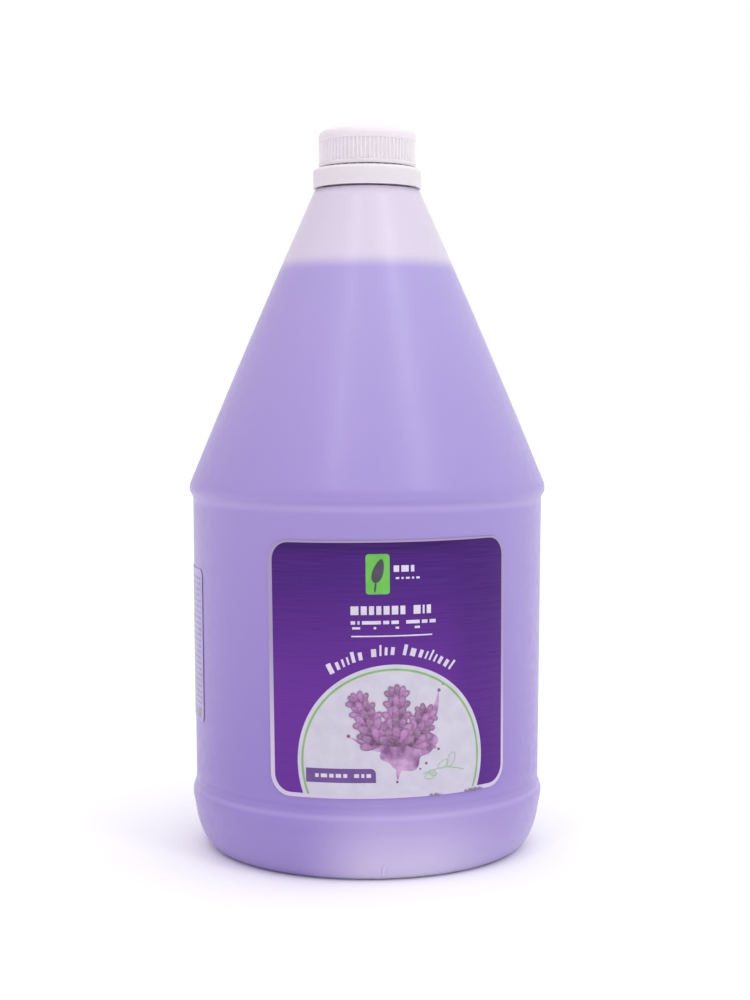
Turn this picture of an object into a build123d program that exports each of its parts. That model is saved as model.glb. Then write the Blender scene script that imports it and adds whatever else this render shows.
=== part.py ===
"""One-gallon round oil jug with a ribbed screw cap, its tamper-evident band, its contents and labels.

Millimetres, +Z up, origin at the centre of the ring that the jug stands on. The front label faces -Y.
Each section of a turned piece is drawn in the XZ plane, as radius and height, and revolved about Z.
"""

import os
from math import cos, degrees, radians, sin

from build123d import *

# Blow-moulded body
wall = 1.0                # thickness of the plastic
standing_in = 10.3        # from the panel's lower end in to the outer edge of the ring the jug stands on
standing_width = 6.0      # width of that ring
push_up = 5.0             # how far the base rises inside the ring
heel_width = 11.1         # from the ring's edge out to the heel's widest point
heel_height = 24.4        # height of the heel's elliptical corner
heel_stop = 14.0          # degrees of that ellipse given over to the step above it
base_ridge_out = 1.45     # how far the lower ridge stands out from the panel
panel_low_r = 75.8        # label panel's radius at its lower end, which sets the jug's width
panel_flare = 0.9         # how far the panel's upper end stands outside its lower end
panel_low_z = 30.8
panel_height = 122.0
ridge_out = 1.5           # how far the shoulder ridge stands out from the panel
ridge_rise = 4.9          # height from the panel's end to the ridge's crest
ridge_fall = 4.0          # height from the crest to the foot of the cone
cone_foot_in = 1.0        # how far the cone's foot lies inside the crest
cone_height = 125.5
cone_bow = 0.55           # how far the cone's side bows out at its middle

# Neck finish
neck_bore_r = 15.9
neck_wall = 1.7
neck_height = 23.0
rim_chamfer = 0.4
thread_pitch = 4.233      # six threads to the inch
thread_depth = 1.2
thread_root_width = 2.4
thread_crest_width = 1.0
neck_thread_drop = 2.934   # from the rim down to the middle of the thread's upper end
thread_start = 20.0       # degrees round from +X
thread_sink = 0.2         # how far a thread's root is let into its wall
bead_out = 2.9            # how far the band-retaining bead stands out from the neck
bead_height = 2.2         # root height of the bead
bead_flat = 0.6           # height of its outer edge
bead_low = 5.2            # its flat underside, above the jug's shoulder

# Screw cap
thread_clearance = 0.3    # between a thread's crest and the wall it faces
skirt_wall = 1.55
rib_count = 72
rib_out = 0.42
rim_out = 0.5              # the plain ring and border stand out a little past the ribs
rib_border = 5.0          # plain height above the ribs
skirt_ring = 1.4          # plain height below the ribs
cap_top = 1.9
cap_edge_r = 2.8
cap_crown = 0.3
cap_thread_turns = 1.75
cap_thread_lift = 1.7     # from the skirt's lower edge to the middle of the thread's start
liner_thickness = 1.2
liner_clearance = 0.25
liner_bead_out = 0.75     # the bead that keeps the liner in the cap
liner_bead_drop = 1.0     # how far below the liner it lies

# Tamper-evident band
slit = 0.7                # gap between cap and band
break_gap = 0.05          # the bridges have snapped this far below the cap
bridge_count = 36
bridge_r = 0.4
band_wall = 1.3
band_bead_clearance = 1.8
band_lift = 0.8           # gap between the band and the jug's shoulder
band_edge_r = 1.5
flange_thickness = 1.0
flange_bead_gap = 0.8      # flange above the bead's root
flange_inner_clearance = 0.45   # flange edge inside the bead's edge
flap_reach = 3.3
flap_thickness = 0.7
flap_bead_gap = 0.3

# Contents and labels
oil_gap = 0.05
headspace = 33.6          # from the fill line up to the jug's shoulder
label_gap = 0.03
label_thickness = 0.15
front_label_width = 105.5
front_label_low = 5.0     # from the panel's lower end
front_label_high = 12.4   # from the panel's upper end
front_label_corner = 9.0
back_label_width = 108.0
back_label_height = 66.0
back_label_low = 27.0     # from the panel's lower end
back_label_corner = 3.0
back_label_turn = -75.0   # degrees from the front label's middle to the back label's near edge

# Worked out from the sizes above
standing_r = panel_low_r - standing_in
panel_high_r = panel_low_r + panel_flare
base_ridge_r = panel_low_r + base_ridge_out
panel_high_z = panel_low_z + panel_height
ridge_r = panel_high_r + ridge_out
ridge_z = panel_high_z + ridge_rise
cone_foot_r = ridge_r - cone_foot_in
cone_foot_z = ridge_z + ridge_fall
shoulder_z = cone_foot_z + cone_height
neck_r = neck_bore_r + neck_wall
thread_crest_r = neck_r + thread_depth
rim_z = shoulder_z + neck_height
bead_r = neck_r + bead_out
bead_z = shoulder_z + bead_low
cap_bore_r = thread_crest_r + thread_clearance
skirt_r = cap_bore_r + skirt_wall
liner_top_z = rim_z + liner_thickness
cap_top_z = liner_top_z + cap_top
band_bore_r = bead_r + band_bead_clearance
band_r = band_bore_r + band_wall
band_low_z = shoulder_z + band_lift
flange_inner_r = bead_r - flange_inner_clearance
band_top_z = bead_z + bead_height + flange_bead_gap + flange_thickness
skirt_low_z = band_top_z + slit
cone_top_r = band_r - 2 * flap_bead_gap
cap_thread_z = skirt_low_z + cap_thread_lift
neck_thread_z = cap_thread_z + thread_pitch / 2
neck_thread_turns = (rim_z - neck_thread_drop - neck_thread_z) / thread_pitch
fill_z = shoulder_z - headspace


def dome_radius(reach, rise):
    """Radius of the sphere whose cap is this wide from the axis and this high."""
    return (reach**2 + rise**2) / (2 * rise)


def body_section(inset):
    """The jug's half section below its neck, drawn inset from the outer surface, closed on the axis."""
    ring_inner = standing_r - standing_width
    base_ridge = (base_ridge_r - inset, heel_height)
    panel_low = (panel_low_r - inset, panel_low_z)
    panel_high = (panel_high_r - inset, panel_high_z)
    crest = (ridge_r - inset, ridge_z)
    foot = (cone_foot_r - inset, cone_foot_z)
    top = (cone_top_r - inset, shoulder_z - inset)
    slope = Vector(*foot) - Vector(*top)
    bow_side = Vector(-slope.Y, slope.X).normalized() * cone_bow
    middle = (Vector(*foot) + Vector(*top)) / 2 + bow_side
    lean = slope.normalized() * ridge_fall * 0.4
    half_step = (panel_low_z - heel_height) / 2

    arch = RadiusArc((0, push_up + inset), (ring_inner, inset), dome_radius(ring_inner, push_up))
    Line(arch @ 1, (standing_r, inset))
    heel = EllipticalCenterArc(
        (standing_r, heel_height), heel_width - inset, heel_height - inset, 270, arc_size=90 - heel_stop
    )
    Bezier(heel @ 1, heel @ 1 + (heel % 1) * 2, (base_ridge[0], heel_height - 2), base_ridge)
    Bezier(
        base_ridge,
        (base_ridge[0], heel_height + half_step),
        (panel_low[0], panel_low_z - half_step),
        panel_low,
    )
    Line(panel_low, panel_high)
    Bezier(
        panel_high,
        (panel_high[0], panel_high_z + ridge_rise / 2),
        (crest[0], ridge_z - ridge_rise / 2),
        crest,
    )
    Bezier(crest, (crest[0], ridge_z + ridge_fall * 0.4), Vector(*foot) + lean, foot)
    ThreePointArc(foot, middle, top)
    Polyline(top, (0, shoulder_z - inset), (0, push_up + inset))


def thread_ridge(root_r, crest_r, start_z, turns):
    """A trapezoidal screw ridge with its root let a little into the wall it stands on."""
    sink = thread_sink if crest_r > root_r else -thread_sink
    with BuildPart() as ridge:
        with BuildLine() as path:
            Helix(thread_pitch, thread_pitch * turns, root_r, center=(0, 0, start_z))
        with BuildSketch(Plane((root_r, 0, start_z), x_dir=(1, 0, 0), z_dir=path.line % 0)):
            with BuildLine():
                Polyline(
                    (-sink, -thread_root_width / 2),
                    (crest_r - root_r, -thread_crest_width / 2),
                    (crest_r - root_r, thread_crest_width / 2),
                    (-sink, thread_root_width / 2),
                    close=True,
                )
            make_face()
        sweep(path=path.line, is_frenet=True)
    return ridge.part.rotate(Axis.Z, thread_start)


def panel_shell(width, low_z, high_z, corner, turn):
    """A thin label wrapped on the tapered panel, its middle turned from -Y by the given angle."""
    half_angle = width / (panel_low_r + panel_high_r)
    reach = panel_high_r * sin(half_angle)
    corner_across = corner * cos(half_angle)
    taper = (panel_high_r - panel_low_r) / panel_height

    def panel_r(height):
        return panel_low_r + taper * (height - panel_low_z) + label_gap

    with BuildPart() as shell:
        with BuildSketch(Plane.XZ):
            with BuildLine():
                Polyline(
                    (panel_r(low_z), low_z),
                    (panel_r(low_z) + label_thickness, low_z),
                    (panel_r(high_z) + label_thickness, high_z),
                    (panel_r(high_z), high_z),
                    close=True,
                )
            make_face()
        revolve(axis=Axis.Z)
        with BuildSketch(Plane.XZ):
            with BuildLine():
                for side, start in ((1, 270), (-1, 90)):
                    edge = side * (reach - corner_across)
                    near, far = (low_z, high_z) if side > 0 else (high_z, low_z)
                    first = EllipticalCenterArc(
                        (edge, near + side * corner), corner_across, corner, start, arc_size=90
                    )
                    second = EllipticalCenterArc(
                        (edge, far - side * corner), corner_across, corner, start + 90, arc_size=90
                    )
                    Line(first @ 1, second @ 0)
                    Line(second @ 1, (-edge, far))
            make_face()
        extrude(amount=2 * panel_high_r, mode=Mode.INTERSECT)
    return shell.part.rotate(Axis.Z, turn)


os.makedirs("parts", exist_ok=True)

# The jug: one wall from the base to the rim
neck_thread = thread_ridge(neck_r, thread_crest_r, neck_thread_z, neck_thread_turns)
with BuildPart() as bottle_body:
    with BuildSketch(Plane.XZ):
        with BuildLine():
            body_section(0)
        make_face()
    revolve(axis=Axis.Z)
    with BuildSketch(Plane.XZ):
        with BuildLine():
            Polyline(
                (0, shoulder_z - wall),
                (neck_r, shoulder_z - wall),
                (neck_r, bead_z),
                (bead_r, bead_z),
                (bead_r, bead_z + bead_flat),
                (neck_r, bead_z + bead_height),
                (neck_r, rim_z - rim_chamfer),
                (neck_r - rim_chamfer, rim_z),
                (0, rim_z),
                close=True,
            )
        make_face()
    revolve(axis=Axis.Z)
    add(neck_thread)
    with BuildSketch(Plane.XZ):
        with BuildLine():
            body_section(wall)
        make_face()
    revolve(axis=Axis.Z, mode=Mode.SUBTRACT)
    with BuildSketch(Plane.XY.offset(shoulder_z - 2 * wall)):
        Circle(neck_bore_r)
    extrude(amount=neck_height + 3 * wall, mode=Mode.SUBTRACT)
bottle_body.part.label = "bottle_body"

# The contents, up to the fill line
with BuildPart() as massage_oil:
    with BuildSketch(Plane.XZ):
        with BuildLine():
            body_section(wall + oil_gap)
        make_face()
    revolve(axis=Axis.Z)
    split(bisect_by=Plane.XY.offset(fill_z), keep=Keep.BOTTOM)
massage_oil.part.label = "massage_oil"

# The screw cap
rib_low_z = skirt_low_z + skirt_ring
rib_high_z = cap_top_z - rib_border
rim_r = skirt_r + rim_out
liner_bead_z = rim_z - liner_bead_drop
cap_thread = thread_ridge(cap_bore_r, cap_bore_r - thread_depth, cap_thread_z, cap_thread_turns)
with BuildPart() as screw_cap:
    with BuildSketch(Plane.XZ):
        with BuildLine():
            corner_z = cap_top_z - cap_crown
            Polyline(
                (0, liner_top_z),
                (cap_bore_r, liner_top_z),
                (cap_bore_r, liner_bead_z + liner_bead_out),
                (cap_bore_r - liner_bead_out, liner_bead_z),
                (cap_bore_r, liner_bead_z - liner_bead_out),
                (cap_bore_r, skirt_low_z),
                (rim_r - rim_out / 2, skirt_low_z),
                (rim_r, skirt_low_z + rim_out / 2),
                (rim_r, rib_low_z),
                (skirt_r, rib_low_z + rim_out),
                (skirt_r, rib_high_z - rim_out),
                (rim_r, rib_high_z),
                (rim_r, corner_z - cap_edge_r),
            )
            edge = RadiusArc(
                (rim_r, corner_z - cap_edge_r), (rim_r - cap_edge_r, corner_z), -cap_edge_r
            )
            crown = dome_radius(rim_r - cap_edge_r, cap_crown)
            RadiusArc(edge @ 1, (0, cap_top_z), -crown)
            Line((0, cap_top_z), (0, liner_top_z))
        make_face()
    revolve(axis=Axis.Z)
    with BuildSketch(Plane.XY.offset(rib_low_z)):
        with PolarLocations(skirt_r, rib_count):
            Circle(rib_out)
    extrude(amount=rib_high_z - rib_low_z)
    add(cap_thread)
screw_cap.part.label = "screw_cap"

# The foam liner inside the cap
with BuildPart() as cap_liner:
    with BuildSketch(Plane.XY.offset(rim_z)):
        Circle(cap_bore_r - liner_clearance)
    extrude(amount=liner_thickness)
cap_liner.part.label = "cap_liner"

# The tamper-evident band with its inward flap
with BuildPart() as tamper_band:
    flap_tip_z = bead_z - flap_bead_gap
    flap_root_z = flap_tip_z - flap_reach / 2
    flange_low_z = band_top_z - flange_thickness
    with BuildSketch(Plane.XZ):
        with BuildLine():
            Polyline(
                (band_r, band_top_z - band_edge_r),
                (band_r, band_low_z),
                (band_bore_r, band_low_z),
                (band_bore_r, flap_root_z - flap_thickness),
                (band_bore_r - flap_reach, flap_tip_z - flap_thickness),
                (band_bore_r - flap_reach, flap_tip_z),
                (band_bore_r, flap_root_z),
                (band_bore_r, flange_low_z),
                (flange_inner_r, flange_low_z),
                (flange_inner_r, band_top_z),
                (band_r - band_edge_r, band_top_z),
            )
            RadiusArc((band_r - band_edge_r, band_top_z), (band_r, band_top_z - band_edge_r), band_edge_r)
        make_face()
    revolve(axis=Axis.Z)
tamper_band.part.label = "tamper_band"

# The snapped bridges left standing on the band
with BuildPart() as break_bridges:
    with BuildSketch(Plane.XY.offset(band_top_z)):
        with PolarLocations((cap_bore_r + rim_r) / 2 + bridge_r, bridge_count):
            Circle(bridge_r)
    extrude(amount=slit - break_gap)
break_bridges.part.label = "break_bridges"

# The two film labels
front_label = panel_shell(
    front_label_width,
    panel_low_z + front_label_low,
    panel_high_z - front_label_high,
    front_label_corner,
    0,
)
front_label.label = "front_label"
back_label_half = degrees(back_label_width / (panel_low_r + panel_high_r))
back_label = panel_shell(
    back_label_width,
    panel_low_z + back_label_low,
    panel_low_z + back_label_low + back_label_height,
    back_label_corner,
    back_label_turn - back_label_half,
)
back_label.label = "back_label"

for piece in (
    bottle_body.part,
    massage_oil.part,
    screw_cap.part,
    cap_liner.part,
    tamper_band.part,
    break_bridges.part,
    front_label,
    back_label,
):
    export_step(piece, f"parts/{piece.label}.step")
    print(piece.label, round(piece.volume / 1000, 2), "cm3", piece.bounding_box().size)
print("height", cap_top_z, "rim", rim_z, "band", band_low_z, band_top_z, "fill", fill_z)
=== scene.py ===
from math import atan2, cos, pi, radians, sin, sqrt, tau

import bmesh
import bpy
from mathutils import Matrix, Vector


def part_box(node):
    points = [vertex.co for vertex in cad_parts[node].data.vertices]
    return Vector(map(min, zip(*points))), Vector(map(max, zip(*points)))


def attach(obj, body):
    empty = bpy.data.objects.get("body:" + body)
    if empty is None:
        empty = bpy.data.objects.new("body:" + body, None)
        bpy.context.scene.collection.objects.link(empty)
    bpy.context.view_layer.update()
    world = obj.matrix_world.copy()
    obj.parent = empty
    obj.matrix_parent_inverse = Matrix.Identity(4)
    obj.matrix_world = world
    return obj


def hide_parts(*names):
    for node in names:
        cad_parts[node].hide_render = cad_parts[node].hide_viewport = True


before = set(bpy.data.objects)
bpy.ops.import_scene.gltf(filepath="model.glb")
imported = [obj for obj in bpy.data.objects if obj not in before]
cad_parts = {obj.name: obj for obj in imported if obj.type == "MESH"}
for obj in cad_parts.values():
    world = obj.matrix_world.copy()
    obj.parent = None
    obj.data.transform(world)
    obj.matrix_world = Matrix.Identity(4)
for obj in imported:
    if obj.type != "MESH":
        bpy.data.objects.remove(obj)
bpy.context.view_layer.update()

# A one-gallon round oil jug. Metres, +Z up, front label facing -Y.
MM = 0.001

# ---------------------------------------------------------------- sizes, from the frame
jug_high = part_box("bottle_body")[1]
band_low, band_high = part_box("tamper_band")
front_low, front_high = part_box("front_label")
back_low, back_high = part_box("back_label")

ridge_r = jug_high.x
rim_z = jug_high.z
fill_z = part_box("massage_oil")[1].z
skirt_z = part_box("screw_cap")[0].z

# ---------------------------------------------------------------- sizes of the wall, its foot to its rim
wall = 1.0 * MM
shoulder_z = band_low.z - 0.8 * MM      # the band floats a little above the shoulder
standing_r = 65.5 * MM
standing_width = 6.0 * MM
push_up = 5.0 * MM
heel_width = 11.1 * MM
heel_height = 24.4 * MM
heel_stop = 14.0           # degrees short of upright, where the heel's curve hands over
base_ridge_r = 77.25 * MM
panel_low_r = 75.8 * MM
panel_high_r = 76.7 * MM
panel_low_z = 30.8 * MM
panel_high_z = 152.8 * MM
ridge_z = 157.7 * MM
cone_foot_r = ridge_r - 1.0 * MM
cone_foot_z = 161.7 * MM
cone_top_r = band_high.x - 0.6 * MM
cone_bow = 0.55 * MM       # how far the cone swells outwards half way up
neck_bore_r = 15.9 * MM
neck_r = 17.6 * MM
bead_z = shoulder_z + 5.2 * MM
bead_r = 20.5 * MM
thread_pitch = 4.233 * MM
thread_crest_r = 18.8 * MM
thread_start = radians(20)
thread_turns = 1.5
thread_z = skirt_z + 3.8165 * MM
wall_wobble = 0.12 * MM    # how far the blown wall wanders inwards
seam_height = 0.10 * MM    # how far the parting lines stand out
lug_r = 71.6 * MM
lug_z = 4.8 * MM


# ---------------------------------------------------------------- small helpers
class Nodes:
    """Anything with a node tree that is filled one node at a time."""

    def add(self, kind, feeds=None, **settings):
        """A new node: settings are its own values, feeds its inputs, each a socket or a plain value."""
        made = self.tree.nodes.new(kind)
        for key, value in settings.items():
            setattr(made, key, value)
        for key, value in (feeds or {}).items():
            if isinstance(value, bpy.types.NodeSocket):
                self.tree.links.new(value, made.inputs[key])
            else:
                made.inputs[key].default_value = value
        return made

    def calc(self, operation, *values):
        return self.add("ShaderNodeMath", dict(enumerate(values)), operation=operation).outputs[0]


class Tree(Nodes):
    """A Geometry Nodes tree with named sizes."""

    KINDS = {int: "NodeSocketInt", float: "NodeSocketFloat", bpy.types.Material: "NodeSocketMaterial"}

    def __init__(self, name, **sizes):
        self.tree = bpy.data.node_groups.new(name, "GeometryNodeTree")
        face = self.tree.interface
        face.new_socket("Geometry", in_out="INPUT", socket_type="NodeSocketGeometry")
        self.sizes = sizes
        for label, value in sizes.items():
            kind = next(k for t, k in self.KINDS.items() if isinstance(value, t))
            face.new_socket(label, in_out="INPUT", socket_type=kind)
        face.new_socket("Geometry", in_out="OUTPUT", socket_type="NodeSocketGeometry")
        self.start = self.tree.nodes.new("NodeGroupInput")
        self.end = self.tree.nodes.new("NodeGroupOutput")

    def __getitem__(self, label):
        return self.start.outputs[label]

    def vector(self, x=0.0, y=0.0, z=0.0):
        return self.add("ShaderNodeCombineXYZ", {0: x, 1: y, 2: z}).outputs[0]

    def spot(self):
        """The place of each point of the geometry."""
        return self.add("GeometryNodeInputPosition").outputs[0]

    def parts(self, vector):
        return self.add("ShaderNodeSeparateXYZ", {0: vector}).outputs

    def read(self, name, kind):
        """A value stored on the points under a name."""
        return self.add("GeometryNodeInputNamedAttribute", {"Name": name}, data_type=kind).outputs[0]

    def store(self, geometry, name, value):
        feeds = {"Geometry": geometry, "Name": name, "Value": value}
        made = self.add("GeometryNodeStoreNamedAttribute", feeds, data_type="FLOAT", domain="POINT")
        return made.outputs[0]

    def move(self, geometry, where):
        return self.add("GeometryNodeSetPosition", {"Geometry": geometry, "Position": where}).outputs[0]

    def grow(self, last, piece, smooth=True):
        """Ends the tree, runs it on piece and leaves the result as piece's own plain mesh."""
        real = self.add("GeometryNodeRealizeInstances", {0: last}).outputs[0]
        if smooth:
            real = self.add("GeometryNodeSetShadeSmooth", {0: real}).outputs[0]
        done = self.add("GeometryNodeSetMaterial", {0: real, "Material": self["Material"]}).outputs[0]
        self.tree.links.new(done, self.end.inputs[0])
        modifier = piece.modifiers.new("grow", "NODES")
        modifier.node_group = self.tree
        for item in self.tree.interface.items_tree:
            if item.in_out == "INPUT" and item.name in self.sizes:
                modifier[item.identifier] = self.sizes[item.name]
        bpy.context.view_layer.update()
        ready = piece.evaluated_get(bpy.context.evaluated_depsgraph_get())
        mesh = bpy.data.meshes.new_from_object(ready)
        name = piece.name
        bpy.data.objects.remove(piece)
        return place(name, mesh)


def place(name, mesh):
    mesh.name = name
    piece = bpy.data.objects.new(name, mesh)
    bpy.context.scene.collection.objects.link(piece)
    return piece


def seed_curve(name, points, closed=False):
    """A poly curve through points, as the thing that a tree grows from."""
    curve = bpy.data.curves.new(name, "CURVE")
    curve.dimensions = "3D"
    spline = curve.splines.new("POLY")
    spline.points.add(len(points) - 1)
    for target, point in zip(spline.points, points):
        target.co = (*point, 1)
    spline.use_cyclic_u = closed
    piece = bpy.data.objects.new(name, curve)
    bpy.context.scene.collection.objects.link(piece)
    return piece


def close_and_face_out(piece):
    """Merges doubles and turns every face outwards."""
    work = bmesh.new()
    work.from_mesh(piece.data)
    bmesh.ops.remove_doubles(work, verts=work.verts, dist=2e-6)
    bmesh.ops.recalc_face_normals(work, faces=work.faces)
    work.to_mesh(piece.data)
    work.free()
    return piece


def hold(piece, body, slot, *nodes):
    """The piece rides on its body and stands for the CAD nodes named; slot is not used."""
    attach(piece, body)
    if nodes:
        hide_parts(*nodes)
    return piece


# ---------------------------------------------------------------- finishes
class Finish(Nodes):
    """A Principled material: plain values on the shader, patterns through nodes."""

    def __init__(self, name, **plain):
        self.material = bpy.data.materials.new(name)
        self.material.use_nodes = True
        self.tree = self.material.node_tree
        self.shader = self.tree.nodes["Principled BSDF"]
        for key, value in plain.items():
            self.shader.inputs[key.replace("_", " ")].default_value = value
        self.place = self.add("ShaderNodeTexCoord").outputs["Object"]

    def grain(self, scale, detail=3.0, stretch=(1, 1, 1)):
        """Noise from 0 to 1, its grain the given number of times to the metre."""
        spot = self.add("ShaderNodeMapping", {"Vector": self.place, "Scale": stretch}).outputs[0]
        feeds = {"Vector": spot, "Scale": scale, "Detail": detail}
        return self.add("ShaderNodeTexNoise", feeds).outputs[0]

    def span(self, value, low, high, out_low=0.0, out_high=1.0, smooth=False):
        feeds = {"Value": value, "From Min": low, "From Max": high, "To Min": out_low, "To Max": out_high}
        kind = "SMOOTHSTEP" if smooth else "LINEAR"
        return self.add("ShaderNodeMapRange", feeds, interpolation_type=kind).outputs[0]

    def height(self):
        return self.add("ShaderNodeSeparateXYZ", {0: self.place}).outputs["Z"]

    def band(self, middle, half, most):
        """A soft level band: most at its middle height, nothing half a width away."""
        far = self.calc("ABSOLUTE", self.calc("SUBTRACT", self.height(), middle))
        return self.span(far, 0.0, half, most, 0.0, smooth=True)

    def stored(self, name):
        """A value stored on the points under a name."""
        return self.add("ShaderNodeAttribute", attribute_name=name).outputs["Fac"]

    def blend(self, share, first, second):
        feeds = {0: share, 6: first, 7: second}
        return self.add("ShaderNodeMix", feeds, data_type="RGBA").outputs[2]

    def set(self, socket, value):
        self.tree.links.new(value, self.shader.inputs[socket])

    def bump(self, value, strength, depth):
        feeds = {"Height": value, "Strength": strength, "Distance": depth}
        self.set("Normal", self.add("ShaderNodeBump", feeds).outputs[0])


def jug_plastic():
    """Natural polyethylene: milky where the jug is empty, lilac where the oil backs it; painted step shade,
    painted heel light.
    """
    made = Finish(
        "natural_polyethylene", IOR=1.5, Subsurface_Weight=0.3, Subsurface_Scale=3 * MM,
        Subsurface_Radius=(1, 1, 1), Coat_Weight=0.1, Coat_Roughness=0.2
    )
    cloud = made.grain(9.0, 2.0)
    waver = made.span(cloud, 0.3, 0.7, -1.2 * MM, 1.2 * MM)
    edge = made.calc("ADD", made.height(), waver)
    level = made.span(edge, fill_z - 2.0 * MM, fill_z + 5.0 * MM, smooth=True)
    deep = made.span(made.height(), 40 * MM, fill_z)
    oil_side = made.blend(deep, (0.260, 0.185, 0.520, 1), (0.362, 0.300, 0.610, 1))
    # Painted shade: a dark band in the groove at the panel's foot. Painted highlights: pale bands on the
    # heel's bulge and at the step under the shoulder ridge.
    groove_painted_shade = made.band(panel_low_z + 0.7 * MM, 1.6 * MM, 0.35)
    with_painted_groove_shade = made.blend(groove_painted_shade, oil_side, (0.20, 0.13, 0.43, 1))
    bulge = made.band(heel_height + 3.1 * MM, 1.8 * MM, 0.35)
    painted_highlight_bands = made.calc("ADD", made.band(panel_high_z, 2.4 * MM, 0.4), bulge)
    with_painted_step_light = made.blend(painted_highlight_bands, with_painted_groove_shade, (0.46, 0.39, 0.69, 1))
    # Painted light: the heel is painted paler towards the floor, most at the front middle and fading to the
    # left and right.
    heel = made.span(made.height(), 0.0, 38 * MM, 1.0, 0.0)
    across = made.add("ShaderNodeSeparateXYZ", {0: made.place}).outputs["X"]
    front = made.span(across, -42 * MM, -4 * MM, 0.12, 1.0, smooth=True)
    right = made.span(across, 10 * MM, 55 * MM, 1.0, 0.35, smooth=True)
    painted_heel_light = made.calc("MULTIPLY", heel, made.calc("MULTIPLY", front, right))
    lower = made.blend(painted_heel_light, with_painted_step_light, (0.64, 0.575, 0.785, 1))
    body = made.blend(level, lower, (0.61, 0.55, 0.67, 1))
    tone = made.blend(made.span(cloud, 0.25, 0.75, 0.0, 0.08), body, (0.40, 0.32, 0.66, 1))
    made.set("Base Color", tone)
    made.set("Roughness", made.span(made.grain(260.0), 0.3, 0.7, 0.30, 0.42))
    made.bump(made.grain(900.0, 2.0), 0.10, 0.06 * MM)
    return made.material


def oil_tint():
    """The oil itself, a little deeper in colour towards the bottom."""
    made = Finish("lilac_oil", IOR=1.47, Roughness=0.12, Transmission_Weight=0.15)
    depth = made.span(made.height(), 0.0, fill_z)
    made.set("Base Color", made.blend(depth, (0.40, 0.31, 0.78, 1), (0.50, 0.42, 0.82, 1)))
    return made.material


def cap_plastic():
    """Satin white polypropylene."""
    made = Finish(
        "satin_white_polypropylene", IOR=1.49, Subsurface_Weight=0.8, Subsurface_Scale=4 * MM,
        Subsurface_Radius=(1, 1, 1)
    )
    mottle = made.grain(70.0, 4.0)
    made.set("Base Color", made.blend(mottle, (0.72, 0.67, 0.72, 1), (0.76, 0.71, 0.76, 1)))
    made.set("Roughness", made.span(made.grain(420.0), 0.3, 0.7, 0.36, 0.5))
    made.bump(made.grain(1500.0, 3.0), 0.15, 0.05 * MM)
    return made.material


def liner_foam():
    """Fine closed-cell foam."""
    made = Finish("white_foam", IOR=1.4)
    cells = made.add("ShaderNodeTexVoronoi", {"Vector": made.place, "Scale": 2500.0}).outputs[0]
    made.set("Base Color", made.blend(cells, (0.86, 0.86, 0.84, 1), (0.78, 0.78, 0.76, 1)))
    made.set("Roughness", made.span(cells, 0.0, 1.0, 0.7, 0.9))
    made.bump(cells, 0.4, 0.1 * MM)
    return made.material


def brushed_film():
    """Metallised purple film, finely brushed on the level, that lightens downwards, with a painted dark
    reflection on the right.
    """
    made = Finish("brushed_purple_film", IOR=1.45, Metallic=0.75, Coat_Weight=0.05, Coat_Roughness=0.16)
    made.shader.inputs["Specular IOR Level"].default_value = 0.2
    spot = made.add("ShaderNodeSeparateXYZ", {0: made.place})
    brush = made.grain(42.0, 6.0, (1, 1, 34))
    fade = made.span(spot.outputs["Z"], front_high.z - 72 * MM, front_high.z, smooth=True)
    body = made.blend(fade, (0.125, 0.032, 0.275, 1), (0.058, 0.016, 0.165, 1))
    head = made.span(spot.outputs["Z"], front_high.z - 9 * MM, front_high.z, 0.0, 0.75, smooth=True)
    capped = made.blend(head, body, (0.028, 0.010, 0.085, 1))
    # Painted reflection: the film is painted darker towards the right, where it mirrors darker surroundings.
    side = made.span(spot.outputs["X"], 18 * MM, 34 * MM, 0.0, 0.45, smooth=True)
    with_painted_dark_reflection = made.blend(side, capped, (0.050, 0.014, 0.140, 1))
    lit = made.blend(made.span(brush, 0.35, 0.7, 0.0, 0.14), with_painted_dark_reflection, (0.20, 0.07, 0.40, 1))
    made.set("Base Color", lit)
    made.set("Roughness", made.span(brush, 0.3, 0.7, 0.32, 0.44))
    made.bump(brush, 0.06, 0.04 * MM)
    return made.material


def edge_film():
    """The film's bare silvery edge, with painted shade over its upper part and painted dark grey shade where
    it has come away from the jug.
    """
    made = Finish("silver_edge", IOR=1.5, Metallic=0.3)
    worn = made.grain(700.0, 4.0)
    base = made.blend(worn, (0.52, 0.46, 0.60, 1), (0.60, 0.54, 0.68, 1))
    # Painted shade: the edge is painted darker over its upper part.
    high = made.span(made.height(), front_high.z - 95 * MM, front_high.z - 35 * MM, 0.0, 0.8, smooth=True)
    with_painted_top_shade = made.blend(high, base, (0.28, 0.22, 0.38, 1))
    # Painted shade: the edge is painted dark grey where it is lifted off the jug, darker the more it lifts.
    painted_lift_shade = made.span(made.stored("lift"), 0.02 * MM, 0.14 * MM, 0.0, 0.85, smooth=True)
    made.set("Base Color", made.blend(painted_lift_shade, with_painted_top_shade, (0.13, 0.11, 0.17, 1)))
    made.set("Roughness", made.span(worn, 0.3, 0.7, 0.30, 0.42))
    return made.material


def printed_ink(name, first, second, rough=0.36, metal=0.0):
    """Ink on the film: a slightly uneven flat colour."""
    made = Finish(name, IOR=1.5, Metallic=metal, Coat_Weight=0.3, Coat_Roughness=0.18)
    made.set("Base Color", made.blend(made.span(made.grain(160.0, 4.0), 0.35, 0.65), first, second))
    made.set("Roughness", made.span(made.grain(500.0), 0.3, 0.7, rough - 0.05, rough + 0.07))
    made.bump(made.grain(1200.0), 0.08, 0.03 * MM)
    return made.material


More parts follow.
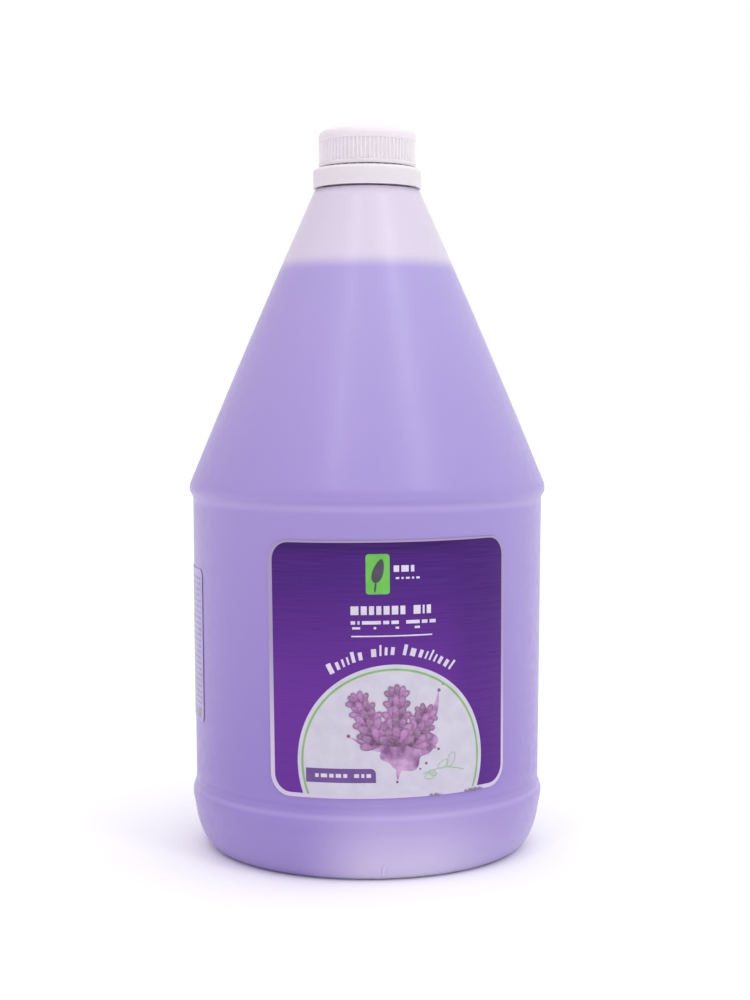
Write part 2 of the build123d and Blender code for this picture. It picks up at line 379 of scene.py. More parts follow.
def petal_ink():
    """Lavender petals, each with its own shade, paler at the top."""
    made = Finish("petal_ink", IOR=1.5, Coat_Weight=0.25, Coat_Roughness=0.2)
    along = made.stored("along")
    body = made.blend(made.stored("shade"), (0.095, 0.025, 0.105, 1), (0.33, 0.12, 0.34, 1))
    tipped = made.blend(made.span(along, 0.45, 1.0, 0.0, 0.55), body, (0.56, 0.31, 0.57, 1))
    heart = made.blend(made.span(along, 0.05, 0.5, 0.95, 0.0), tipped, (0.075, 0.030, 0.035, 1))
    lined = made.blend(made.span(made.stored("rim"), 0.62, 1.0, 0.0, 0.75), heart, (0.085, 0.020, 0.085, 1))
    vein = made.span(made.grain(900.0, 4.0), 0.4, 0.6, 0.0, 0.2)
    made.set("Base Color", made.blend(vein, lined, (0.58, 0.38, 0.62, 1)))
    made.set("Roughness", made.span(vein, 0.0, 0.2, 0.34, 0.46))
    return made.material


# ---------------------------------------------------------------- the jug
def bezier(points, steps):
    """Points of a cubic curve, leaving out its first."""
    a, b, c, d = (Vector(p) for p in points)
    out = []
    for i in range(1, steps + 1):
        t = i / steps
        out.append(a * (1 - t) ** 3 + b * 3 * t * (1 - t) ** 2 + c * 3 * t * t * (1 - t) + d * t**3)
    return out


def straight(a, b, steps):
    """Points of a straight line, leaving out its first."""
    a, b = Vector(a), Vector(b)
    return [a.lerp(b, i / steps) for i in range(1, steps + 1)]


def body_outline(inset, fine=1.0):
    """Radius and height of the wall from the base's middle to the edge of the jug's shoulder."""
    ring_inner = standing_r - standing_width

    def steps(count):
        return max(2, round(count * fine))

    rows = [Vector((0, push_up + inset))]
    for i in range(1, steps(12) + 1):
        r = ring_inner * i / steps(12)
        rows.append(Vector((r, inset + push_up * (1 - (r / ring_inner) ** 2))))
    rows += straight(rows[-1], (standing_r, inset), 2)
    sweep = radians(90 - heel_stop)
    for i in range(1, steps(20) + 1):
        turn = sweep * i / steps(20)
        out = (heel_width - inset) * sin(turn)
        up = (heel_height - inset) * (1 - cos(turn))
        rows.append(Vector((standing_r + out, inset + up)))
    heading = (rows[-1] - rows[-2]).normalized() * 2 * MM
    bulge = (base_ridge_r - inset, heel_height)
    rows += bezier((rows[-1], rows[-1] + heading, (bulge[0], heel_height - 2 * MM), bulge), steps(8))
    half = (panel_low_z - heel_height) / 2
    panel_low = (panel_low_r - inset, panel_low_z)
    panel_high = (panel_high_r - inset, panel_high_z)
    step_in = (bulge, (bulge[0], bulge[1] + half), (panel_low[0], panel_low_z - half), panel_low)
    rows += bezier(step_in, steps(10))
    rows += straight(panel_low, panel_high, steps(24))
    crest = (ridge_r - inset, ridge_z)
    rise = (ridge_z - panel_high_z) / 2
    step_out = (panel_high, (panel_high[0], panel_high_z + rise), (crest[0], ridge_z - rise), crest)
    rows += bezier(step_out, steps(10))
    foot = Vector((cone_foot_r - inset, cone_foot_z))
    top = Vector((cone_top_r - inset, shoulder_z - inset))
    lean = (foot - top).normalized() * 1.6 * MM
    rows += bezier((crest, (crest[0], ridge_z + 1.6 * MM), foot + lean, foot), steps(8))
    side = Vector((top.y - foot.y, foot.x - top.x)).normalized()
    for i in range(1, steps(30) + 1):
        t = i / steps(30)
        rows.append(foot.lerp(top, t) + side * cone_bow * 4 * t * (1 - t))
    return rows


def jug_outline():
    """The whole wall's section: up the outside, over the rim and down the inside."""
    out = body_outline(0.0)
    out += straight(out[-1], (neck_r + 1.2 * MM, shoulder_z), 3)
    out += bezier((out[-1], (neck_r, shoulder_z), (neck_r, shoulder_z), (neck_r, shoulder_z + 1.2 * MM)), 4)
    out += straight(out[-1], (neck_r, bead_z), 2)
    out += [Vector(p) for p in (
        (bead_r - 0.3 * MM, bead_z), (bead_r, bead_z + 0.25 * MM), (bead_r, bead_z + 0.5 * MM),
        (bead_r - 0.4 * MM, bead_z + 0.9 * MM), (neck_r, bead_z + 2.2 * MM))]
    out += straight(out[-1], (neck_r, rim_z - 0.5 * MM), 6)
    out += bezier((out[-1], (neck_r, rim_z), (neck_r, rim_z), (neck_r - 0.5 * MM, rim_z)), 4)
    out += straight(out[-1], (neck_bore_r + 0.3 * MM, rim_z), 2)
    out.append(Vector((neck_bore_r, rim_z - 0.3 * MM)))
    out += straight(out[-1], (neck_bore_r, shoulder_z - wall), 4)
    inner = body_outline(wall, fine=0.5)
    out += straight(out[-1], inner[-1], 2)
    out += list(reversed(inner[:-1]))
    return out


def swept(name, rows, segments, material, start=0.0, turns=1.0, pitch=0.0, root=0.0, whole=1.0,
          wobble=0.0, seam=0.0):
    """Rows of radius and height swept about Z, closed after one level turn or climbing as a screw ridge.

    A ridge shrinks to its root radius at both ends when whole is 0. The wall wanders inwards by up to
    wobble, and everything but the two parting lines lies further in by seam.
    """
    tree = Tree(
        name + "_sweep", Segments=segments, Rows=len(rows), Start=start, Turns=turns, Pitch=pitch,
        Root=root, Whole=whole, Wobble=wobble, Seam=seam, Material=material
    )
    feeds = {
        "Size X": 1.0, "Size Y": 1.0,
        "Vertices X": tree.calc("ADD", tree["Segments"], 1), "Vertices Y": tree["Rows"],
    }
    grid = tree.add("GeometryNodeMeshGrid", feeds)
    spot = tree.parts(tree.spot())
    along = tree.calc("ADD", spot["X"], 0.5)
    swing = tree.calc("MULTIPLY", tree.calc("MULTIPLY", along, tau), tree["Turns"])
    angle = tree.calc("ADD", tree["Start"], swing)
    cosine, sine = tree.calc("COSINE", angle), tree.calc("SINE", angle)
    share = tree.calc("ADD", spot["Y"], 0.5)
    row = tree.calc("ROUND", tree.calc("MULTIPLY", share, tree.calc("SUBTRACT", tree["Rows"], 1)))
    feeds = {"Geometry": tree["Geometry"], "Value": tree.spot(), "Index": row}
    point = tree.add("GeometryNodeSampleIndex", feeds, data_type="FLOAT_VECTOR", domain="POINT")
    drawn = tree.parts(point.outputs[0])
    end = tree.calc("MINIMUM", along, tree.calc("SUBTRACT", 1.0, along))
    fade = tree.calc("MINIMUM", tree.calc("ADD", tree["Whole"], tree.calc("MULTIPLY", end, 14.0)), 1.0)
    out = tree.calc("SUBTRACT", drawn["X"], tree["Root"])
    across = tree.calc("ADD", tree["Root"], tree.calc("MULTIPLY", out, fade))
    climb = tree.calc("MULTIPLY", tree.calc("MULTIPLY", along, tree["Turns"]), tree["Pitch"])
    up = tree.calc("ADD", tree.calc("MULTIPLY", drawn["Z"], fade), climb)
    true_spot = tree.vector(tree.calc("MULTIPLY", cosine, across), tree.calc("MULTIPLY", sine, across), up)
    noise = tree.add("ShaderNodeTexNoise", {"Vector": true_spot, "Scale": 17.0, "Detail": 1.0}).outputs[0]
    off_seam = tree.calc("MINIMUM", tree.calc("MULTIPLY", tree.calc("ABSOLUTE", sine), 40.0), 1.0)
    inward = tree.calc(
        "ADD", tree.calc("MULTIPLY", noise, tree["Wobble"]), tree.calc("MULTIPLY", off_seam, tree["Seam"])
    )
    pulled = tree.calc("MAXIMUM", tree.calc("SUBTRACT", across, inward), 0.0)
    where = tree.vector(tree.calc("MULTIPLY", cosine, pulled), tree.calc("MULTIPLY", sine, pulled), up)
    skin = tree.move(grid.outputs[0], where)
    piece = seed_curve(name, [(r, 0, z) for r, z in rows])
    return close_and_face_out(tree.grow(skin, piece))


def neck_thread(material):
    """The screw ridge on the neck, shrinking into the wall at both ends."""
    sunk, crest = neck_r - 0.2 * MM, thread_crest_r
    rows = [(sunk, -1.2 * MM), (crest, -0.5 * MM), (crest, 0.5 * MM), (sunk, 1.2 * MM), (sunk, -1.2 * MM)]
    piece = swept("neck_thread", rows, 110, material, thread_start, thread_turns, thread_pitch, sunk, 0.0)
    piece.data.transform(Matrix.Translation((0, 0, thread_z)))
    return piece


def heel_lug(material):
    """The small upright lug on the heel that turns the jug on a labelling line."""
    work = bmesh.new()
    bmesh.ops.create_uvsphere(work, u_segments=16, v_segments=10, radius=1.0)
    shape = Matrix.Diagonal((1.1 * MM, 0.9 * MM, 3.4 * MM, 1.0))
    lean = Matrix.Rotation(radians(38), 4, "X")
    stand = Matrix.Translation((0, -lug_r, lug_z))
    bmesh.ops.transform(work, matrix=stand @ lean @ shape, verts=work.verts)
    bmesh.ops.transform(work, matrix=Matrix.Rotation(radians(-2.7), 4, "Z"), verts=work.verts)
    for face in work.faces:
        face.smooth = True
    mesh = bpy.data.meshes.new("heel_lug")
    work.to_mesh(mesh)
    work.free()
    mesh.materials.append(material)
    return place("heel_lug", mesh)


# ---------------------------------------------------------------- labels on the panel
panel_mid_r = (panel_low_r + panel_high_r) / 2
film_gap = 0.03 * MM
film_depth = 0.15 * MM
film_face = film_gap + film_depth
front_half = 52.75 * MM
front_foot, front_head = front_low.z, front_high.z
front_tilt = radians(0.6)
disc_centre = (-0.4 * MM, 50.6 * MM)
disc_r = 39.7 * MM
back_half = 54.0 * MM
back_turn = radians(-75) - back_half / panel_mid_r
back_foot, back_head = back_low.z, back_high.z


def wrapped(tree, flat):
    """Bends geometry drawn flat as (along, up, depth) round the tapered panel, inside a tree."""
    feeds = {"Vector": tree.spot(), "Angle": tree["Tilt"], "Center": (0, (front_foot + front_head) / 2, 0)}
    spot = tree.parts(tree.add("ShaderNodeVectorRotate", feeds).outputs[0])
    share = tree.calc("DIVIDE", tree.calc("SUBTRACT", spot["Y"], panel_low_z), panel_high_z - panel_low_z)
    panel = tree.calc("ADD", tree["Low radius"], tree.calc("MULTIPLY", share, tree["Flare"]))
    rise = tree.calc("ADD", tree.calc("MULTIPLY", spot["Z"], tree["Depth"]), tree.read("lift", "FLOAT"))
    radius = tree.calc("ADD", tree.calc("ADD", panel, tree["Level"]), rise)
    angle = tree.calc("ADD", tree.calc("DIVIDE", spot["X"], panel_mid_r), tree["Turn"])
    where = tree.vector(
        tree.calc("MULTIPLY", tree.calc("SINE", angle), radius),
        tree.calc("MULTIPLY", tree.calc("MULTIPLY", tree.calc("COSINE", angle), radius), -1.0),
        spot["Y"],
    )
    return tree.move(flat, where)


def panel_tree(name, level, depth, turn, material, **more):
    """A tree for something wrapped round the panel; only the front label is laid crooked."""
    return Tree(
        name + "_wrap", Level=level, Depth=depth, Turn=turn, Tilt=0.0 if turn else front_tilt,
        Flare=panel_high_r - panel_low_r, Material=material, **{"Low radius": panel_low_r}, **more
    )


def flat_sheet(outlines, columns=2.0 * MM, rows=()):
    """A closed slab of depth 1 from flat outlines, cut into columns that can bend, and at some heights."""
    work = bmesh.new()
    for outline in outlines:
        work.faces.new([work.verts.new((s, t, 0)) for s, t in outline])
    bmesh.ops.remove_doubles(work, verts=work.verts, dist=1e-7)
    bmesh.ops.recalc_face_normals(work, faces=work.faces)
    left = min(v.co.x for v in work.verts)
    right = max(v.co.x for v in work.verts)
    cuts = [((left + columns * i, 0, 0), (1, 0, 0)) for i in range(1, int((right - left) / columns) + 1)]
    cuts += [((0, height, 0), (0, 1, 0)) for height in rows]
    for spot, normal in cuts:
        everything = work.verts[:] + work.edges[:] + work.faces[:]
        bmesh.ops.bisect_plane(work, geom=everything, plane_co=spot, plane_no=normal, dist=1e-7)
    made = bmesh.ops.extrude_face_region(work, geom=work.faces[:])
    for item in made["geom"]:
        if isinstance(item, bmesh.types.BMVert):
            item.co.z = 1.0
    bmesh.ops.recalc_face_normals(work, faces=work.faces)
    mesh = bpy.data.meshes.new("sheet")
    work.to_mesh(mesh)
    work.free()
    return mesh


def give(mesh, name, values, kind="FLOAT"):
    """Stores one value a vertex on a mesh."""
    attribute = mesh.attributes.new(name, kind, "POINT")
    key = "value" if kind == "FLOAT" else "vector"
    for item, value in zip(attribute.data, values):
        setattr(item, key, value)


def laid(name, mesh, material, level, depth=0.03 * MM, turn=0.0):
    """A flat sheet laid on the panel, its underside at level."""
    tree = panel_tree(name, level, depth, turn, material)
    return tree.grow(wrapped(tree, tree["Geometry"]), place(name, mesh), smooth=False)


def stamped(name, marks, material, level, taper=0.0, sides=0, columns=2, turn=0.0, stack=0.0):
    """Printed marks, each (along, up, width, height, turn, shade): bars, or ovals when sides is given."""
    seeds = bpy.data.meshes.new(name)
    seeds.from_pydata([(m[0], m[1], 0) for m in marks], [], [])
    give(seeds, "size", [(m[2], m[3], 1.0) for m in marks], "FLOAT_VECTOR")
    give(seeds, "turned", [(0, 0, m[4]) for m in marks], "FLOAT_VECTOR")
    give(seeds, "shade", [m[5] for m in marks])
    give(seeds, "lift", [stack * i for i in range(len(marks))])
    more = {"Taper": taper, "Sides": max(sides, 3), "Columns": columns}
    tree = panel_tree(name, level, 0.02 * MM, turn, material, **more)
    if sides:
        feeds = {"Vertices": tree["Sides"], "Radius": 0.5, "Depth": 1.0}
        shape = tree.add("GeometryNodeMeshCylinder", feeds, fill_type="TRIANGLE_FAN").outputs[0]
    else:
        feeds = {"Size": (1, 1, 1), "Vertices X": tree["Columns"], "Vertices Y": 2, "Vertices Z": 2}
        shape = tree.add("GeometryNodeMeshCube", feeds).outputs[0]
    spot = tree.parts(tree.spot())
    along = tree.calc("ADD", spot["Y"], 0.5)
    shape = tree.store(shape, "along", along)
    squares = tree.calc("ADD", tree.calc("POWER", spot["X"], 2), tree.calc("POWER", spot["Y"], 2))
    shape = tree.store(shape, "rim", tree.calc("MULTIPLY", tree.calc("POWER", squares, 0.5), 2.0))
    thinned = tree.calc("MULTIPLY", tree.calc("SUBTRACT", 1.0, along), tree["Taper"])
    slim = tree.calc("MULTIPLY", spot["X"], tree.calc("SUBTRACT", 1.0, thinned))
    shape = tree.move(shape, tree.vector(slim, spot["Y"], spot["Z"]))
    feeds = {
        "Points": tree["Geometry"], "Instance": shape,
        "Scale": tree.read("size", "FLOAT_VECTOR"), "Rotation": tree.read("turned", "FLOAT_VECTOR"),
    }
    spread = tree.add("GeometryNodeInstanceOnPoints", feeds).outputs[0]
    real = tree.add("GeometryNodeRealizeInstances", {0: spread}).outputs[0]
    return tree.grow(wrapped(tree, real), place(name, seeds), smooth=False)


def arc(centre, radius, start, end, steps=24):
    """Points of an arc, both ends included."""
    turns = [start + (end - start) * i / steps for i in range(steps + 1)]
    return [(centre[0] + radius * cos(a), centre[1] + radius * sin(a)) for a in turns]


def rounded_box(left, low, right, high, corner, steps=8):
    """A flat outline with round corners."""
    near, far, foot, head = left + corner, right - corner, low + corner, high - corner
    centres = ((far, foot), (far, head), (near, head), (near, foot))
    out = []
    for i, centre in enumerate(centres):
        out += arc(centre, corner, (i - 1) * pi / 2, i * pi / 2, steps)
    return out


def ribbon(points, width, end_width=None):
    """Quads of a line through the points, of one width or running from one width to another."""
    sides = []
    for i, point in enumerate(points):
        before, after = Vector(points[max(i - 1, 0)]), Vector(points[min(i + 1, len(points) - 1)])
        wide = width if end_width is None else width + (end_width - width) * i / (len(points) - 1)
        way = (after - before).normalized() * wide / 2
        sides.append(((point[0] - way.y, point[1] + way.x), (point[0] + way.y, point[1] - way.x)))
    return [[a[0], b[0], b[1], a[1]] for a, b in zip(sides, sides[1:])]


def disc_part(radius, foot):
    """The arc of a circle about the disc's centre, down to foot on both sides."""
    dip = atan2(foot - disc_centre[1], sqrt(radius**2 - (foot - disc_centre[1]) ** 2))
    return arc(disc_centre, radius, dip, pi - dip, 72)


def crease(s, t):
    """How far the film's lower edge has come away from the jug, at two short places to the right."""
    fade = max(0.0, 1 - (t - front_foot) / (1.5 * MM))
    spots = ((17.0 * MM, 4.0 * MM, 0.30), (35.5 * MM, 6.0 * MM, 0.45))
    lift = 0.0
    for middle, reach, rise in spots:
        across = max(0.0, 1 - ((s - middle) / reach) ** 2)
        lift += rise * MM * across * fade * (0.65 + 0.35 * sin((s - middle) * 2600))
    return lift


def front_label(edge_film, purple):
    """The film with its silvery edge, and the brushed purple print inside it."""
    heights = [front_foot + step * MM for step in (0.3, 0.6, 0.9, 1.2, 1.5)]
    outline = rounded_box(-front_half, front_foot, front_half, front_head, 9 * MM)
    film = flat_sheet([outline], 1.0 * MM, heights)
    give(film, "lift", [crease(v.co.x, v.co.y) for v in film.vertices])
    hold(laid("front_label_film", film, edge_film, film_gap, film_depth), "jug", "label_film", "front_label")
    inner = rounded_box(
        -front_half + 2.0 * MM, front_foot + 1.7 * MM, front_half - 1.5 * MM, front_head - 0.8 * MM, 7.4 * MM
    )
    return laid("front_label_print", flat_sheet([inner]), purple, film_face)


def label_disc(white, green):
    """The white disc that rises from the label's foot, and its green line."""
    foot = front_foot + 1.6 * MM
    layers = [laid("label_disc", flat_sheet([disc_part(disc_r, foot)]), white, film_face + 0.03 * MM)]
    outer, inner = disc_part(38.1 * MM, foot), disc_part(37.2 * MM, foot)
    quads = [[a, b, c, d] for a, b, c, d in zip(outer, outer[1:], inner[1:], inner)]
    return layers + [laid("label_ring", flat_sheet(quads), green, film_face + 0.06 * MM)]


def wording(white):
    """Rows of plain bars where a label carries words, one of them curved over the disc."""
    rows = (    # start, height, how tall, and the widths, where a negative one is a gap
        (-17.2, 112.3, 3.5, (3.2, 2.4, 2.0, 2.0, 2.4, 2.6, 2.0, -1.6, 2.9, 0.8, 1.8)),
        (-17.2, 107.4, 1.4, (1.8, 0.9, 7.6, 2.4, 3.0, -1.2, 5.6, 2.4, 2.6)),
        (-16.6, 105.2, 0.9, (3.2, -3.6, 1.0, -6.0, 1.4, -4.6, 2.2)),
        (0.2, 129.0, 2.6, (2.2, 3.0, 1.4)),
        (1.0, 125.2, 0.8, (1.4, 0.9, 1.6, 0.9, 1.4)),
        (-32.6, 45.2, 1.5, (1.5, 2.6, 1.8, 2.2, 1.6, -1.0, 2.0, 1.2, 1.8)),
    )
    bars = []
    for start, height, tall, widths in rows:
        at = start * MM
        for width in widths:
            if width > 0:
                bars.append((at + width / 2 * MM, height * MM, width * MM, tall * MM, 0.0, 0.5))
            at += (abs(width) + 0.9) * MM
    letters = (
        2.6, 1.8, 1.2, 1.0, 1.8, 2.0, -1.2, 2.6, 1.0, 1.4, 1.9, -1.2, 1.8, 2.8, 1.9, 1.0, 1.0, 1.0, 1.8, 2.0,
        1.2,
    )
    reach = 45.2 * MM    # from the disc's centre to the feet of the curved row
    span = sum(abs(w) + 1.02 for w in letters) * MM
    at = -span / 2
    for i, width in enumerate(letters):
        middle = at + width / 2 * MM
        at += (abs(width) + 1.02) * MM
        if width < 0:
            continue
        turn = middle / reach
        tall = 4.4 if i % 4 == 0 else 3.2
        centre = reach + (tall - 3.2) / 2 * MM
        bars.append((disc_centre[0] + centre * sin(turn), disc_centre[1] + centre * cos(turn),
                     width * 0.8 * MM, tall * MM, -turn - 0.12, 0.5))
    line = [(-0.5 * MM, 101.9 * MM, 33.0 * MM, 0.55 * MM, 0.0, 0.5)]
    level = film_face + 0.10 * MM
    return [stamped("label_wording", bars, white, level, columns=4),
            stamped("label_rule", line, white, level, columns=24)]


def emblem(green, dark):
    """A plain leaf on an upright green tile."""
    tile = rounded_box(-11.0 * MM, 118.8 * MM, -1.4 * MM, 135.0 * MM, 1.2 * MM, 3)
    leaf = [(-6.0 * MM, 128.2 * MM, 3.2 * MM, 10.0 * MM, -0.3, 0.5),
            (-7.2 * MM, 121.8 * MM, 0.6 * MM, 4.4 * MM, -0.1, 0.5)]
    level = film_face + 0.04 * MM
    return [laid("emblem_tile", flat_sheet([tile]), green, level),
            stamped("emblem_leaf", leaf, dark, level + 0.06 * MM, taper=-0.7, sides=20)]


def name_tab(purple):
    """The purple tab at the disc's lower left, with one round corner."""
    left, low, right, high, corner = -36.5 * MM, 42.3 * MM, -7.7 * MM, 48.1 * MM, 2.2 * MM
    rounded = arc((right - corner, high - corner), corner, 0, pi / 2, 6)
    outline = [(left, low), (right, low)] + rounded + [(left, high)]
    return [laid("name_tab", flat_sheet([outline]), purple, film_face + 0.06 * MM)]


def leaf_line(green):
    """A thin line drawing of a reclining leafy twig."""
    stem = [(12.0 * MM + 18.5 * MM * i / 20, 45.2 * MM + 1.8 * MM * sin(i / 20 * pi)) for i in range(21)]
    quads = ribbon(stem, 0.45 * MM)
    leaves = ((14.5, 46.0, 3.6, 1.35, -0.5), (18.4, 47.0, 5.2, 1.2, 0.55), (23.0, 47.2, 6.2, 1.1, 1.15),
              (17.0, 44.6, 4.6, 1.2, -2.9))
    for s, t, size, slim, lean in leaves:
        loop = []
        for i in range(17):
            turn = i / 16 * tau
            along, across = size * (1 - cos(turn)) / 2, size * 0.26 * sin(turn)
            loop.append(((s + along * cos(lean) - across * sin(lean)) * MM,
                         (t + along * sin(lean) + across * cos(lean)) * MM))
        quads += ribbon(loop, 0.4 * MM)
    return [laid("leaf_line", flat_sheet(quads), green, film_face + 0.07 * MM)]


def flower_heads(petals):
    """Lavender heads: whorls of petals up three short stems, each whorl laid over the one below."""
    marks = []
    heads = ((4.5, 53.5, -0.50, 17.0, 4), (-4.0, 54.0, 0.46, 22.5, 5), (0.6, 53.0, -0.02, 23.5, 5))
    for foot_s, foot_t, lean, length, whorls in heads:
        for i in range(whorls):
            up = length * (1 - i / whorls)
            s, t = foot_s - up * sin(lean), foot_t + up * cos(lean)
            size = 6.4 + 3.0 * i / whorls
            for k in range(5):
                fan = (-1.15, 1.15, -0.6, 0.6, 0.0)[k]
                turn = lean + fan + 0.12 * sin(7 * i + 3 * k + foot_s)
                shade = 0.5 + 0.5 * sin(2.3 * k + 1.7 * i + foot_t)
                reach = size * 0.42
                marks.append(((s - reach * sin(turn)) * MM, (t + reach * cos(turn)) * MM,
                              size * 0.52 * MM, size * MM, turn, shade))
    level = film_face + 0.11 * MM
    return [stamped("flower_heads", marks, petals, level, taper=0.5, sides=14, stack=0.004 * MM)]


def oil_pool(mauve, dark):
    """A loose splash of oil behind and under the flowers, with a few drops thrown off it."""
    outline = []
    centre, count = (4.6 * MM, 57.5 * MM), 120
    for i in range(count):
        turn = i / count * tau
        reach = 10.6 + 1.3 * sin(3 * turn + 0.6) + 0.9 * sin(5 * turn + 2.1) + 0.5 * sin(9 * turn)
        along, up = reach * 1.12 * MM * cos(turn), reach * 0.92 * MM * sin(turn)
        outline.append((centre[0] + along, centre[1] + up))
    fan = [[centre, outline[i], outline[(i + 1) % count]] for i in range(count)]
    level = film_face + 0.06 * MM
    arms = []
    for start, end, bow, wide in (((9, 62), (18.6, 78.0), 2.6, 6.0), ((-3, 56), (-17.5, 60.8), -1.2, 3.4),
                                  ((11, 59), (17.8, 55.6), 1.2, 4.0), ((3, 50), (1.2, 43.4), 0.5, 3.6)):
        way = Vector(end) - Vector(start)
        bent = Vector((way.y, -way.x)).normalized() * bow
        path = [(Vector(start) + way * i / 10 + bent * sin(pi * i / 10)) * MM for i in range(11)]
        arms += ribbon([tuple(p) for p in path], wide * MM, 0.5 * MM)
    drops = [
        (s * MM, t * MM, size * MM, size * MM, 0.0, 0.3)
        for s, t, size in ((18.9, 78.9, 1.5), (-18.6, 61.4, 1.5), (18.6, 54.8, 1.2), (1.0, 42.4, 1.1),
                           (10.6, 47.2, 0.9), (13.2, 49.4, 1.2), (20.6, 81.2, 0.8))
    ]
    return [laid("oil_pool", flat_sheet(fan), mauve, level),
            laid("oil_splash", flat_sheet(arms), mauve, level + 0.005 * MM),
            stamped("oil_drops", drops, dark, level + 0.02 * MM, sides=14)]


def back_label(film, ink):
    """The plain back film with rows of bars and a small block low down."""
    sheet = flat_sheet([rounded_box(-back_half, back_foot, back_half, back_head, 3 * MM)])
    film_piece = laid("back_label_film", sheet, film, film_gap, film_depth, back_turn)
    hold(film_piece, "jug", "back_film", "back_label")
    bars = []
    for row in range(24):
        height = back_head - (4.0 + 2.45 * row) * MM
        at = back_half - 2.5 * MM
        k = 0
        while at > -back_half + 9 * MM:
            width = (3.0 + 1.8 * sin(2.1 * k + 3.7 * row) + 0.9 * sin(5.3 * k + row)) * MM
            bars.append((at - width / 2, height, width, 1.15 * MM, 0.0, 0.5))
            at -= width + 0.95 * MM
            k += 1
    block = [(back_half - 11 * MM, back_foot + 3.6 * MM, 16 * MM, 4.2 * MM, 0.0, 0.5)]
    return [stamped("back_label_wording", bars, ink, film_face, columns=3, turn=back_turn),
            stamped("back_label_block", block, ink, film_face, columns=10, turn=back_turn)]


# ---------------------------------------------------------------- build
milky = jug_plastic()
white_cap = cap_plastic()
jug_wall = swept("jug_wall", jug_outline(), 240, milky, wobble=wall_wobble, seam=seam_height)
hold(jug_wall, "jug", "jug_plastic", "bottle_body")
hold(neck_thread(milky), "jug", "jug_plastic")
hold(heel_lug(milky), "jug", "jug_plastic")

carried = {
    "massage_oil": oil_tint(), "screw_cap": white_cap, "tamper_band": white_cap, "break_bridges": white_cap,
    "cap_liner": liner_foam(),
}
for node, finish in carried.items():
    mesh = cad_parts[node].data
    mesh.materials.clear()
    mesh.materials.append(finish)

white_ink = printed_ink("white_ink", (0.49, 0.47, 0.57, 1), (0.54, 0.52, 0.62, 1))
word_ink = printed_ink("word_ink", (0.55, 0.50, 0.60, 1), (0.64, 0.60, 0.70, 1))
green_ink = printed_ink("green_ink", (0.085, 0.40, 0.035, 1), (0.11, 0.46, 0.05, 1))
line_green = printed_ink("pale_green_ink", (0.26, 0.42, 0.24, 1), (0.32, 0.48, 0.30, 1))
ring_green = printed_ink("ring_green_ink", (0.16, 0.36, 0.09, 1), (0.20, 0.42, 0.12, 1))
tab_purple = printed_ink("tab_ink", (0.095, 0.032, 0.215, 1), (0.12, 0.045, 0.25, 1))
leaf_dark = printed_ink("leaf_ink", (0.030, 0.022, 0.050, 1), (0.045, 0.035, 0.070, 1))
mauve = printed_ink("mauve_ink", (0.17, 0.055, 0.19, 1), (0.50, 0.30, 0.53, 1))
plum = printed_ink("plum_ink", (0.14, 0.05, 0.16, 1), (0.22, 0.09, 0.24, 1))

prints = [front_label(edge_film(), brushed_film())]
prints += label_disc(white_ink, ring_green) + wording(word_ink) + emblem(green_ink, leaf_dark)
prints += name_tab(tab_purple) + leaf_line(line_green) + oil_pool(mauve, plum) + flower_heads(petal_ink())
for layer in prints:
    hold(layer, "jug", "label_film")
clear_film = printed_ink("clear_film", (0.29, 0.225, 0.53, 1), (0.34, 0.275, 0.57, 1))
grey_ink = printed_ink("grey_ink", (0.15, 0.13, 0.26, 1), (0.21, 0.19, 0.33, 1))
for layer in back_label(clear_film, grey_ink):
    hold(layer, "jug", "back_film")


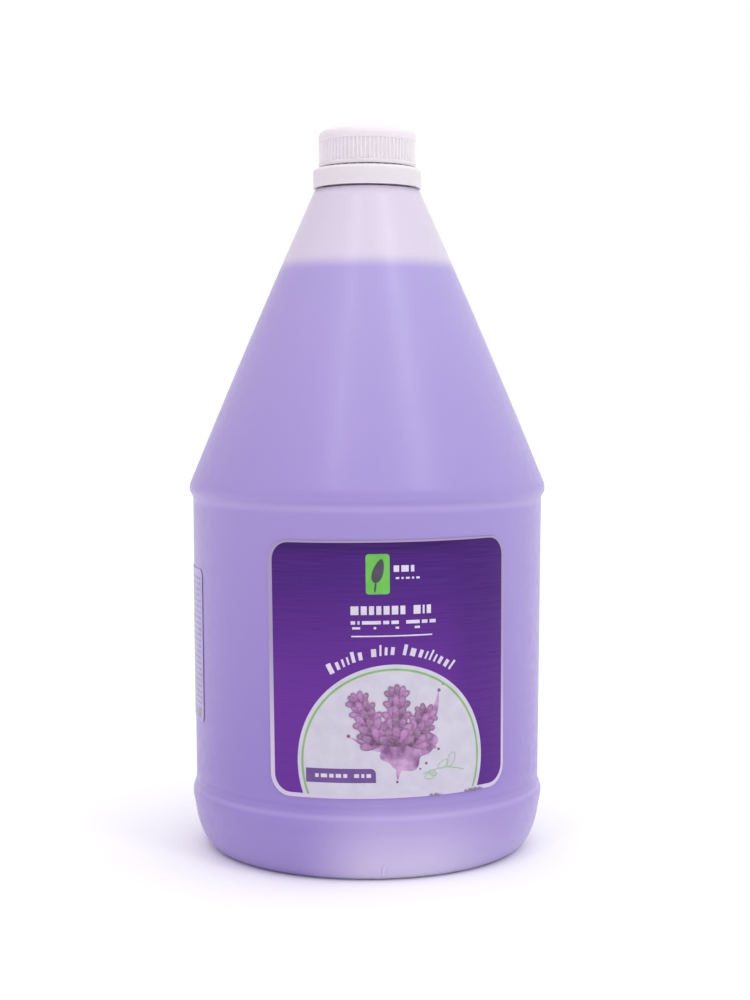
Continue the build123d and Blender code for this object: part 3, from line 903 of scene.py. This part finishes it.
# ---------------------------------------------------------------- studio
def studio():
    """A white room that is a little dimmer on the left, a white floor and a broad soft light from above."""
    world = bpy.data.worlds.new("white_room")
    bpy.context.scene.world = world
    world.use_nodes = True
    sky = world.node_tree
    way = sky.nodes.new("ShaderNodeTexCoord")
    parts = sky.nodes.new("ShaderNodeSeparateXYZ")
    side = sky.nodes.new("ShaderNodeMapRange")
    shade = sky.nodes.new("ShaderNodeMix")
    shade.data_type = "RGBA"
    side.inputs["From Min"].default_value, side.inputs["From Max"].default_value = -0.55, -0.15
    shade.inputs[6].default_value, shade.inputs[7].default_value = (0.80, 0.73, 0.79, 1), (1, 1, 1, 1)
    sky.links.new(way.outputs["Generated"], parts.inputs[0])
    sky.links.new(parts.outputs["X"], side.inputs["Value"])
    sky.links.new(side.outputs[0], shade.inputs[0])
    sky.links.new(shade.outputs[2], sky.nodes["Background"].inputs["Color"])
    floor_mesh = bpy.data.meshes.new("floor")
    work = bmesh.new()
    bmesh.ops.create_grid(work, x_segments=1, y_segments=1, size=6.0)
    work.to_mesh(floor_mesh)
    work.free()
    floor = place("floor", floor_mesh)
    paper = Finish("white_paper", Roughness=0.8)
    paper.set("Base Color", paper.blend(paper.grain(3.0), (0.94, 0.94, 0.95, 1), (0.97, 0.97, 0.98, 1)))
    floor_mesh.materials.append(paper.material)
    ceiling = bpy.data.lights.new("ceiling", "SUN")
    ceiling.energy, ceiling.angle = 0.65, radians(100)
    bpy.context.scene.collection.objects.link(bpy.data.objects.new("ceiling", ceiling))


def soft_box(name, turn, rise, distance, width, height, power):
    """An area light that faces the jug's shoulder from the given bearing and elevation in degrees."""
    lamp = bpy.data.lights.new(name, "AREA")
    lamp.shape = "RECTANGLE"
    lamp.size, lamp.size_y, lamp.energy = width, height, power
    piece = bpy.data.objects.new(name, lamp)
    aim = Vector((0, 0, 0.17))
    bearing, up = radians(turn), radians(rise)
    away = Vector((sin(bearing) * cos(up), -cos(bearing) * cos(up), sin(up)))
    piece.location = aim + away * distance
    piece.rotation_euler = away.to_track_quat("Z", "Y").to_euler()
    bpy.context.scene.collection.objects.link(piece)


def set_camera():
    """Eye level a little above the label, slightly left of the label's middle."""
    lens = bpy.data.cameras.new("camera")
    lens.lens = 63.35
    lens.sensor_width = 36.0
    lens.shift_x = 0.0078
    eye = bpy.data.objects.new("camera", lens)
    bearing, pitch, distance = radians(-8.1), radians(3.62), 0.777
    eye.location = (sin(bearing) * distance, -cos(bearing) * distance, 0.2009)
    turn = Matrix.Rotation(bearing, 4, "Z") @ Matrix.Rotation(pi / 2 - pitch, 4, "X")
    eye.rotation_euler = turn.to_euler()
    bpy.context.scene.collection.objects.link(eye)
    bpy.context.scene.camera = eye


studio()
soft_box("left_box", -32, 46, 1.3, 0.18, 0.6, 1.2)
soft_box("right_box", 32, 46, 1.3, 0.25, 0.7, 1.85)
set_camera()
bpy.context.scene.view_settings.view_transform = "Standard"
